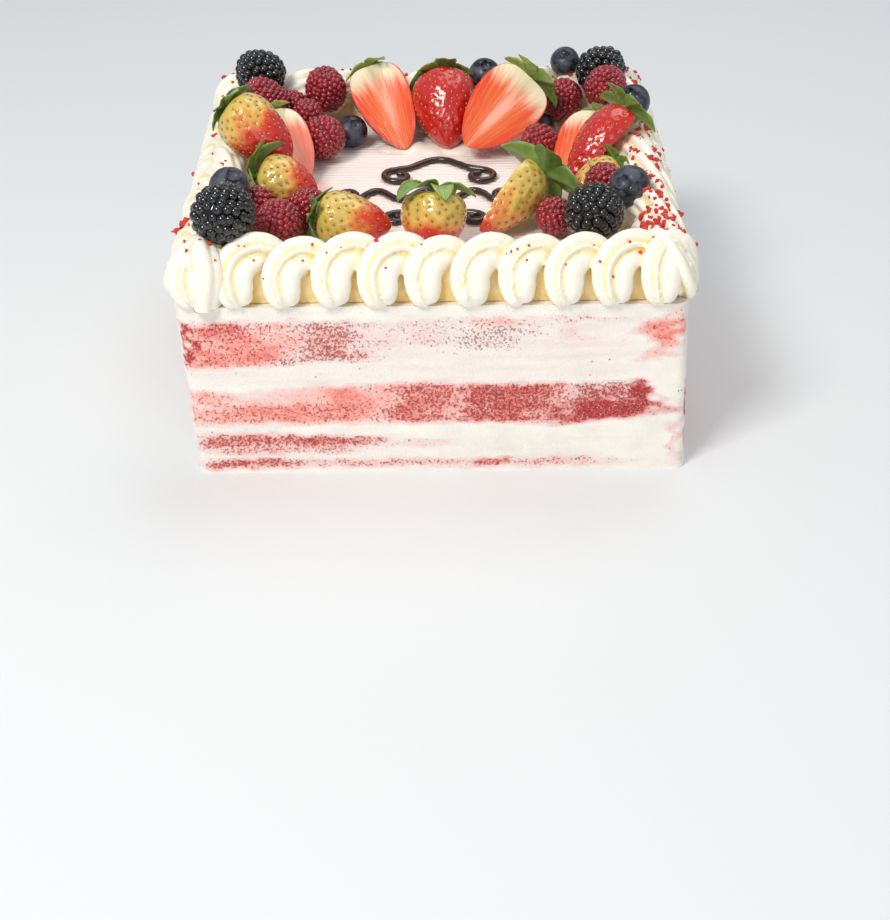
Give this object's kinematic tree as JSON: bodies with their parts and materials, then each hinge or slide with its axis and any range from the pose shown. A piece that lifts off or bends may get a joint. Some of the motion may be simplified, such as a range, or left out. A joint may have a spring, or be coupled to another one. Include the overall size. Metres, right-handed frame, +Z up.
{
  "type": "square layer cake with fruit",
  "caption": "Square red sponge layer cake, thinly coated at the sides, with a border of piped cream shells and a ring of fresh fruit round its open top.",
  "frame": {"origin": "middle of the cake's base", "axes": "+X is the right of the front side, +Y points from the front side to the back, +Z is up"},
  "size_m": [0.2115, 0.2112, 0.1232],
  "materials": {
    "sponge": "moist red crumb, matt",
    "cream": "smooth piped cream, soft sheen",
    "chocolate": "glossy dark chocolate",
    "strawberry": "glossy red skin with seeds",
    "strawberry_cut": "moist cut flesh, pale at the crown",
    "strawberry_pale": "glossy pale yellow skin with seeds",
    "raspberry": "dark pink-red beads, moist",
    "bramble": "black glossy beads",
    "blueberry": "dark blue skin with a dusty bloom",
    "leaf": "green leaf with a soft sheen",
    "crumb": "dry red cake crumbs"
  },
  "bodies": {
    "root": {"sponge_bottom": "sponge", "filling_lower": "cream", "sponge_middle": "sponge", "filling_upper": "cream", "sponge_top": "sponge", "top_cream": "cream", "shell_row_front": "cream", "shell_row_right": "cream", "shell_row_back": "cream", "shell_row_left": "cream", "scroll_far": "chocolate", "scroll_middle": "chocolate", "scroll_near": "chocolate", "bramble_1": "bramble", "bramble_2": "bramble", "bramble_3": "bramble", "bramble_4": "bramble", "raspberry_1": "raspberry", "raspberry_2": "raspberry", "raspberry_3": "raspberry", "raspberry_4": "raspberry", "raspberry_5": "raspberry", "raspberry_6": "raspberry", "raspberry_7": "raspberry", "raspberry_8": "raspberry", "raspberry_9": "raspberry", "raspberry_10": "raspberry", "raspberry_11": "raspberry", "raspberry_12": "raspberry", "raspberry_13": "raspberry", "blueberry_1": "blueberry", "blueberry_2": "blueberry", "blueberry_3": "blueberry", "blueberry_4": "blueberry", "blueberry_5": "blueberry", "blueberry_6": "blueberry", "blueberry_7": "blueberry", "blueberry_8": "blueberry", "strawberry_1": "strawberry_cut", "strawberry_2": "strawberry", "strawberry_3": "strawberry_cut", "strawberry_4": "strawberry_cut", "strawberry_5": "strawberry", "strawberry_6": "strawberry_pale", "strawberry_7": "strawberry_pale", "strawberry_8": "strawberry_pale", "strawberry_9": "strawberry_pale", "strawberry_10": "strawberry_pale", "strawberry_11": "strawberry", "strawberry_12": "strawberry_cut"}
  },
  "joints": []
}
